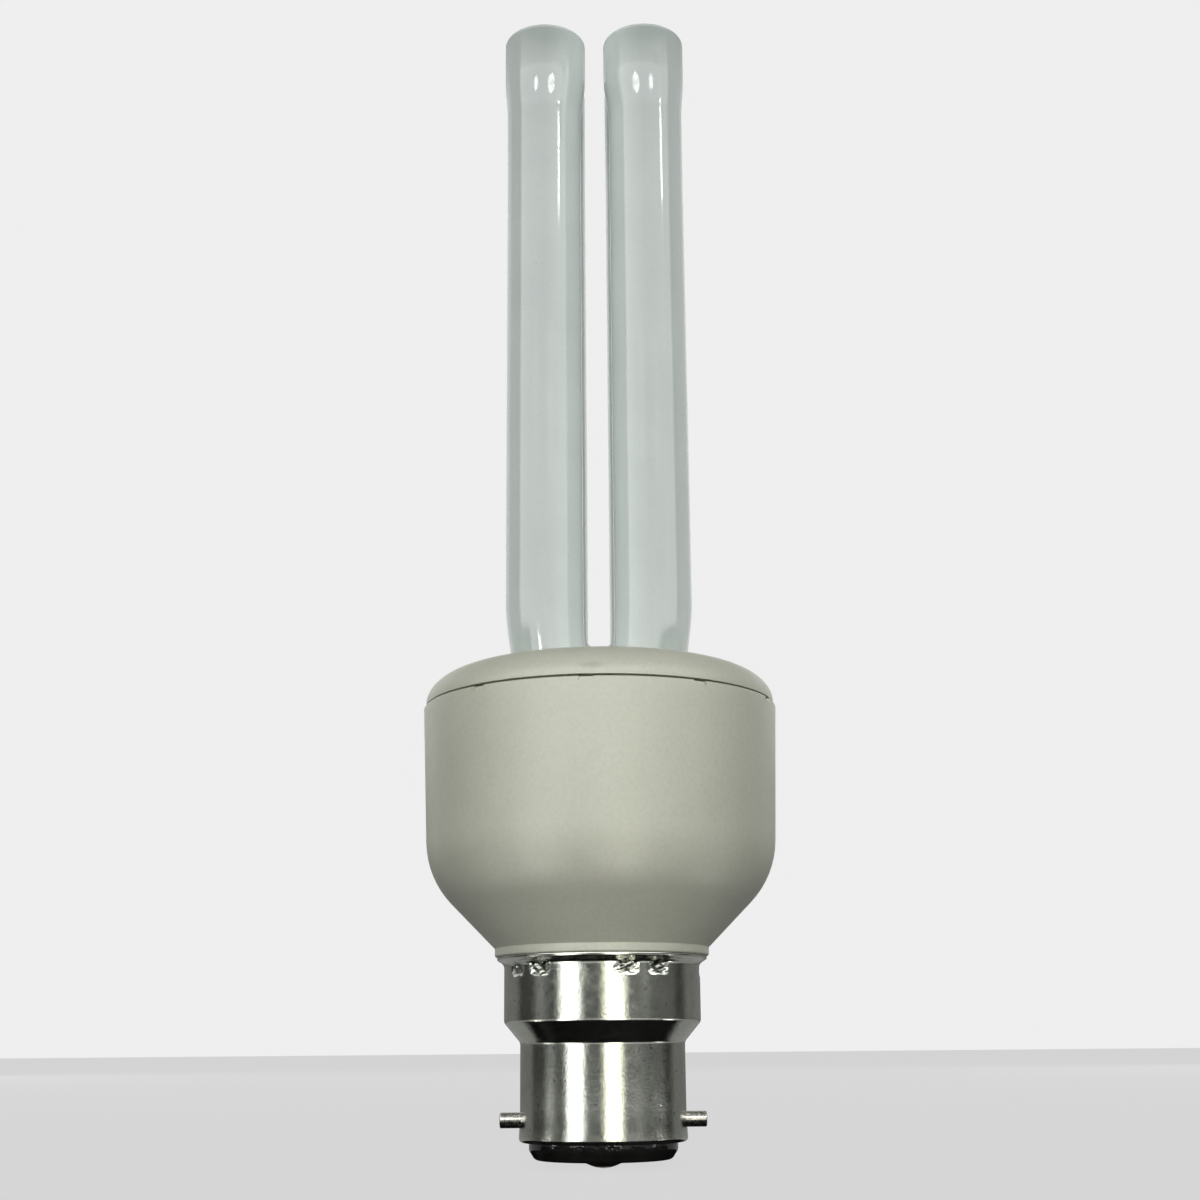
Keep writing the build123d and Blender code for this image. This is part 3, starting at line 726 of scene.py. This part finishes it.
def cap_paint():
    """Bright plated sheet with an uneven surface and specks, darker in the crimps as painted shade."""
    paint = Paint("cap_metal", metallic=1.0)
    dents = [(SKIRT_RADIUS * cos(turn), SKIRT_RADIUS * sin(turn), crimp_level) for turn in crimp_angles]
    sheet = paint.mottle(SHEET_TONES, size=2.5)
    specks = paint.specks(tone=0.3, start=0.3, end=0.37, size=0.4, rough=0.6)
    # painted shade: the sheet darkens round the middle of each crimp
    crimp_shade = paint.ramp(paint.nearest(dents, CRIMP_SHADE_SPREAD), (0.5, grey(0.35)), (1.0, grey(1.0)))
    paint.colour(sheet, specks, crimp_shade)
    paint.roughness(low=0.07, high=0.18, size=0.8, detail=4.0)
    paint.relief(depth=0.023, strength=0.8, size=0.4, detail=5.0, rough=0.7)
    return paint.material


def pin_paint():
    """Plated brass, dull in places."""
    paint = Paint("pin_metal", metallic=1.0)
    paint.colour(paint.mottle(PIN_TONES, size=0.5, detail=4.0))
    paint.roughness(low=0.18, high=0.35, size=0.4)
    paint.relief(depth=0.004, strength=0.5, size=0.6)
    return paint.material


def black_glass_paint():
    """Moulded black glass, slightly wavy."""
    paint = Paint("black_glass")
    paint.colour(paint.mottle(BLACK_TONES, size=2.0))
    paint.roughness(low=0.03, high=0.1, size=1.0, detail=4.0)
    paint.relief(depth=0.05, strength=0.6, size=1.4, detail=2.0)
    return paint.material


def solder_paint():
    """Dull solder, browned by flux."""
    paint = Paint("solder", metallic=1.0)
    paint.colour(paint.mottle(SOLDER_TONES, size=0.6, detail=4.0))
    paint.roughness(low=0.25, high=0.55, size=0.5, detail=4.0)
    paint.relief(depth=0.05, strength=0.8, size=0.5, detail=4.0)
    return paint.material


def inner_paint(slot):
    """Finish of a hidden piece, from the record's colour with a fine mottle."""
    metal = slot["class"] in INNER_METALS
    paint = Paint(slot["slot"], metallic=1.0 if metal else 0.0)
    paint.shader.inputs["Roughness"].default_value = 0.35 if metal else 0.55
    tones = [[min(1.0, value * shade) for value in slot["base_color"][:3]] for shade in INNER_SHADES]
    paint.colour(paint.mottle(tones, size=0.8, detail=4.0))
    paint.relief(depth=0.02, strength=0.5, size=0.4)
    return paint.material


def dress(obj, material, slot, *nodes):
    """Paints a piece, fixes it to the bulb and lets it stand for its CAD nodes."""
    obj.data.materials.clear()
    obj.data.materials.append(material)
    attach(obj, "root")
    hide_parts(*nodes)


plastic = plastic_paint()
pin_metal = pin_paint()
solder = solder_paint()
dress(make_tube(), glass_paint(), "coated_glass", "discharge_tube")
dress(make_collar(), plastic, "case_plastic", "tube_collar")
dress(make_housing(), plastic, "case_plastic", "ballast_housing")
dress(make_cap(), cap_paint(), "cap_metal", "cap_shell")
dress(make_pin("pin_right", 0), pin_metal, "pin_metal", "bayonet_pin_right")
dress(make_pin("pin_left", 180), pin_metal, "pin_metal", "bayonet_pin_left")
dress(make_insulator(), black_glass_paint(), "black_glass", "cap_insulator")
dress(make_contact("solder_front", -contact_y), solder, "solder", "contact_front")
dress(make_contact("solder_rear", contact_y), solder, "solder", "contact_rear")

# Hidden pieces keep their CAD form
slots = {entry["slot"]: entry for entry in frame["record"]["materials"]}
inner_materials = {}
for subpart in frame["record"]["subparts"]:
    node = frame["nodes"][subpart["node"]]
    slot = subpart["material_slot"]
    if not node.hide_render:
        if slot not in inner_materials:
            inner_materials[slot] = inner_paint(slots[slot])
        node.data.materials.clear()
        node.data.materials.append(inner_materials[slot])


# Studio, in metres, with turns in degrees right of the camera
COOL = (0.97, 1.0, 0.97)
WARM = (1.0, 0.98, 0.84)
WHITE = (1.0, 1.0, 1.0)
PALE = 0.86
AMBIENT = 0.175
FLOOR_SIZE = 12.0
FLOOR_ALBEDO = 0.2
FLOOR_GLOW = 0.75             # share of the floor that is its own pale tone to the camera
CURTAIN_RADIUS = 1.6
CURTAIN_HEIGHT = 2.2
CURTAIN_GLOW = 1.0
CURTAIN_TONES = [             # at turns
    (-180, 0.2), (-116, 0.2), (-110, 0.06), (-86, 0.06), (-80, 0.28), (-72, 0.28), (-66, 0.09), (-54, 0.09),
    (-26, 0.14), (0, 0.14), (27, 0.2), (46, 0.2), (56, 0.15), (90, 0.14), (96, 0.05), (106, 0.05),
    (114, 0.2), (180, 0.2),
]
HIGH_WALL = (0.9, 0.3, 0.82)  # radius, bottom and top
LOW_WALL = (0.3, 0.09, 0.224)
WALL_GLOW = 4.4
WALL_FADE = (0.6, 0.82)       # levels between which the high wall fades
WALL_TONES = [                # shares of the walls' glow at turns
    (-180, 0.25), (-125, 0.25), (-119, 0.14), (-88, 0.14), (-77, 0.14), (-70, 1.0), (50, 1.0), (54, 0.85),
    (68, 0.85), (76, 0.18), (134, 0.18), (140, 0.25), (180, 0.25),
]

# Mats, one with painted shade, and lights on the floor, each at its own small height in millimetres
MAT_RISE = 0.2
MAT_RADIUS = 1.5
MAT_GLOW = 4.0
MAT_SHADE_TONES = [                 # shares of its glow at distances from the bulb's axis, near black close to the axis as painted shade of the floor round the bulb
    (0.0, 0.015), (0.032, 0.015), (0.045, 0.1), (0.06, 1.0), (0.11, 1.0), (0.13, 0.22), (1.0, 0.22),
]
REAR_MAT_RISE = 0.6
REAR_MAT = (0.006, 0.1, 0.1)  # its near and far edges behind the axis, and half its width
REAR_MAT_GLOW = 0.3
PATH_RISE = 0.4
PATH_SPREAD = 10.2            # degrees from a path's middle to each side
PATH_START = 0.045
GLINT_RISE = 0.5
GLINT_START = 0.052
GLINT_END = 0.057
GLINT_GLOW = 22.0
GLINTS = [(-75, 2.5), (-42, 3), (14, 5), (77, 2.5)]  # turn, and degrees to each side

# Upright cards and the soft boxes
WINDOW_DISTANCE = 1.4
WINDOW_WIDTH = 0.5
WINDOW_TOP = 0.22
WINDOW_GLOW = 3.5
WINDOW_TURNS = {"left_window": -37.5, "right_window": 14.0}
LAMP_DISTANCE = 0.85
LAMP_WIDTH = 0.32
LAMP_FOOT = 0.38
LAMP_TIP = 0.438
LAMP_GLOW = 20.0
LAMP_TURNS = {"left_lamp": -24.0, "right_lamp": 20.0}
CARDS = {                     # turn, distance, width, bottom, top and glow
    "thin_window": (51, WINDOW_DISTANCE, 0.07, floor_level, WINDOW_TOP, 0.6),
    "root_lamp": (-21, 0.27, 0.04, 0.074, 0.0885, 25.0),
    "thin_lamp": (47, 0.6, 0.06, 0.42, 0.48, 22.0),
    "left_stop": (35.2, 0.0613, 0.009, 0.1706, 0.181, 2.0),
    "right_stop": (44.5, 0.06, 0.009, 0.1658, 0.181, 2.0),
}
LIGHT_DISTANCE = 1.1
LIGHT_LEVEL = 0.3
LIGHT_SIZE = 0.5
LIGHT_AIM = 0.07
LIGHTS = {"front_fill": (0, 8.7), "left_fill": (-142, 5.5), "right_fill": (142, 5.5)}  # turn and power


def around(turn, distance, level):
    """Place at a turn, a distance from the bulb's axis and a level."""
    angle = from_front(turn)
    return Vector((cos(angle) * distance, sin(angle) * distance, level))


def seen_directly(nodes, links):
    """1 for camera, glossy and transmitted rays, else 0."""
    path = nodes.new("ShaderNodeLightPath")
    total = path.outputs["Is Camera Ray"]
    for name in ("Is Glossy Ray", "Is Transmission Ray"):
        total = mathed(nodes, links, "MAXIMUM", total, path.outputs[name])
    return total


def make_world():
    """Pale backdrop to the camera, and a softer light on the bulb."""
    world = bpy.data.worlds.new("studio")
    world.use_nodes = True
    bpy.context.scene.world = world
    nodes, links = world.node_tree.nodes, world.node_tree.links
    background = nodes["Background"]
    background.inputs["Color"].default_value = (*WHITE, 1)
    strength = mapped(nodes, links, seen_directly(nodes, links), AMBIENT, PALE)
    links.new(strength, background.inputs["Strength"])


def make_floor():
    """Pale floor that still takes the bulb's shadow."""
    bm = bmesh.new()
    level = Matrix.Translation((0, 0, floor_level))
    bmesh.ops.create_grid(bm, x_segments=1, y_segments=1, size=FLOOR_SIZE / 2, matrix=level)
    floor = made("floor", bm)
    material = bpy.data.materials.new("floor")
    material.use_nodes = True
    nodes, links = material.node_tree.nodes, material.node_tree.links
    nodes.remove(nodes["Principled BSDF"])
    matte = nodes.new("ShaderNodeBsdfDiffuse")
    matte.inputs["Color"].default_value = (*grey(FLOOR_ALBEDO), 1)
    glow = nodes.new("ShaderNodeEmission")
    glow.inputs["Color"].default_value = (*grey(PALE), 1)
    mix = nodes.new("ShaderNodeMixShader")
    share = mathed(nodes, links, "MULTIPLY", seen_directly(nodes, links), FLOOR_GLOW)
    links.new(share, mix.inputs["Fac"])
    links.new(matte.outputs[0], mix.inputs[1])
    links.new(glow.outputs[0], mix.inputs[2])
    links.new(mix.outputs[0], nodes["Material Output"].inputs["Surface"])
    floor.data.materials.append(material)


def reflected_only(name, bm):
    """Makes a glowing stage object that only reflections show, and returns its glow, nodes and links."""
    obj = made(name, bm)
    material = bpy.data.materials.new(name)
    material.use_nodes = True
    nodes, links = material.node_tree.nodes, material.node_tree.links
    nodes.remove(nodes["Principled BSDF"])
    glow = nodes.new("ShaderNodeEmission")
    links.new(glow.outputs[0], nodes["Material Output"].inputs["Surface"])
    obj.data.materials.append(material)
    obj.visible_camera = False
    obj.visible_diffuse = False
    obj.visible_transmission = False
    obj.visible_shadow = False
    return glow, nodes, links


def round_about(nodes, links, tones):
    """Grey tones at turns."""
    place = axes(nodes, links)
    front = mathed(nodes, links, "MULTIPLY", place["Y"], -1)
    turn = mathed(nodes, links, "ARCTAN2", place["X"], front)
    share = mathed(nodes, links, "MULTIPLY_ADD", turn, 1 / (2 * pi))
    share.node.inputs[2].default_value = 0.5
    return ramped(nodes, links, share, [((degrees + 180) / 360, grey(tone)) for degrees, tone in tones])


def make_curtain(name, radius, bottom, top, tones, strength, fade=None):
    """Curtain round the bulb, lighter and darker in upright bands. It can fade away between two levels."""
    bm = bmesh.new()
    middle = Matrix.Translation((0, 0, (bottom + top) / 2))
    bmesh.ops.create_cone(
        bm, segments=STAGE_TURNS, radius1=radius, radius2=radius, depth=top - bottom, matrix=middle
    )
    glow, nodes, links = reflected_only(name, bm)
    links.new(round_about(nodes, links, tones), glow.inputs["Color"])
    glow.inputs["Strength"].default_value = strength
    if fade:
        faded = mapped(nodes, links, axes(nodes, links)["Z"], strength, 0, *fade)
        links.new(faded, glow.inputs["Strength"])


def make_shade_mat():
    """Round sheet under the bulb that only reflections show, black in the middle as painted shade of the
    floor round the bulb, with a pale ring and the curtain's bands beyond.
    """
    bm = bmesh.new()
    level = Matrix.Translation((0, 0, floor_level + MAT_RISE * MM))
    bmesh.ops.create_circle(bm, cap_ends=True, segments=STAGE_TURNS, radius=MAT_RADIUS, matrix=level)
    glow, nodes, links = reflected_only("mat", bm)
    links.new(round_about(nodes, links, CURTAIN_TONES), glow.inputs["Color"])
    away = nodes.new("ShaderNodeVectorMath")
    away.operation = "LENGTH"
    links.new(nodes.new("ShaderNodeTexCoord").outputs["Object"], away.inputs[0])
    # painted shade: the glow is near black close to the bulb's axis
    shares = [(distance, grey(share)) for distance, share in MAT_SHADE_TONES]
    share = ramped(nodes, links, away.outputs["Value"], shares)
    links.new(mathed(nodes, links, "MULTIPLY", share, MAT_GLOW), glow.inputs["Strength"])


def make_sheet(name, corners, strength, colour):
    """Flat glowing sheet between some corners."""
    bm = bmesh.new()
    bm.faces.new([bm.verts.new(corner) for corner in corners])
    glow, _, _ = reflected_only(name, bm)
    glow.inputs["Color"].default_value = (*colour, 1)
    glow.inputs["Strength"].default_value = strength


def make_rear_mat():
    """Mid grey patch on the floor behind the bulb."""
    near, far, half = REAR_MAT
    level = floor_level + REAR_MAT_RISE * MM
    corners = [(-half, near, level), (half, near, level), (half, far, level), (-half, far, level)]
    make_sheet("rear_mat", corners, REAR_MAT_GLOW, WHITE)


def make_path(name, turn, spread, start, end, rise, strength, colour):
    """Light that lies along the floor at a turn, between two distances."""
    level = floor_level + rise * MM
    ends = ((-1, start), (1, start), (1, end), (-1, end))
    corners = [around(turn + side * spread, distance, level) for side, distance in ends]
    make_sheet(name, corners, strength, colour)


def make_card(name, turn, distance, width, bottom, top, strength, colour):
    """Upright bright card at a turn, facing the bulb."""
    side = around(turn + 90, width / 2, 0)
    foot = around(turn, distance, bottom)
    head = around(turn, distance, top)
    make_sheet(name, [foot - side, foot + side, head + side, head - side], strength, colour)


def make_lamp(name, turn):
    """Bright card that narrows to a tip, so that a widening of the glass shows it as a drop."""
    side = around(turn + 90, LAMP_WIDTH / 2, 0)
    foot = around(turn, LAMP_DISTANCE, LAMP_FOOT)
    tip = around(turn, LAMP_DISTANCE, LAMP_TIP)
    make_sheet(name, [foot - side, foot + side, tip], LAMP_GLOW, COOL)


def make_light(name, turn, power):
    """Square soft box at a turn, facing the bulb, that shows in no reflection."""
    light = bpy.data.lights.new(name, "AREA")
    light.color = COOL
    light.size = LIGHT_SIZE
    light.energy = power
    obj = bpy.data.objects.new(name, light)
    bpy.context.scene.collection.objects.link(obj)
    obj.location = around(turn, LIGHT_DISTANCE, LIGHT_LEVEL)
    obj.rotation_euler = (Vector((0, 0, LIGHT_AIM)) - obj.location).to_track_quat("-Z", "Y").to_euler()
    obj.visible_camera = False
    obj.visible_glossy = False


def make_camera():
    """Camera close to the bulb, low down and tilted up."""
    data = bpy.data.cameras.new("camera")
    data.lens = LENS
    data.sensor_width = SENSOR
    data.clip_start = CAMERA_CLIP
    camera = bpy.data.objects.new("camera", data)
    bpy.context.scene.collection.objects.link(camera)
    look = Matrix.Rotation(pi / 2 + CAMERA_PITCH, 4, "X") @ Matrix.Rotation(CAMERA_ROLL, 4, "Z")
    camera.matrix_world = at(CAMERA_SIDE, -CAMERA_DISTANCE, CAMERA_RISE) @ look
    bpy.context.scene.camera = camera


make_world()
make_floor()
make_curtain("curtain", CURTAIN_RADIUS, floor_level, CURTAIN_HEIGHT, CURTAIN_TONES, CURTAIN_GLOW)
make_curtain("high_wall", *HIGH_WALL, WALL_TONES, WALL_GLOW, WALL_FADE)
make_curtain("low_wall", *LOW_WALL, WALL_TONES, WALL_GLOW)
make_shade_mat()
make_rear_mat()
for name, turn in WINDOW_TURNS.items():
    colour = COOL if turn < 0 else WARM
    make_card(name, turn, WINDOW_DISTANCE, WINDOW_WIDTH, floor_level, WINDOW_TOP, WINDOW_GLOW, colour)
    make_path(name + "_path", turn, PATH_SPREAD, PATH_START, WINDOW_DISTANCE, PATH_RISE, WINDOW_GLOW, colour)
for number, (turn, spread) in enumerate(GLINTS):
    make_path(f"glint_{number}", turn, spread, GLINT_START, GLINT_END, GLINT_RISE, GLINT_GLOW, COOL)
for name, turn in LAMP_TURNS.items():
    make_lamp(name, turn)
for name, card in CARDS.items():
    make_card(name, *card, COOL)
for name, (turn, power) in LIGHTS.items():
    make_light(name, turn, power)
make_camera()
bpy.context.scene.view_settings.view_transform = "Standard"
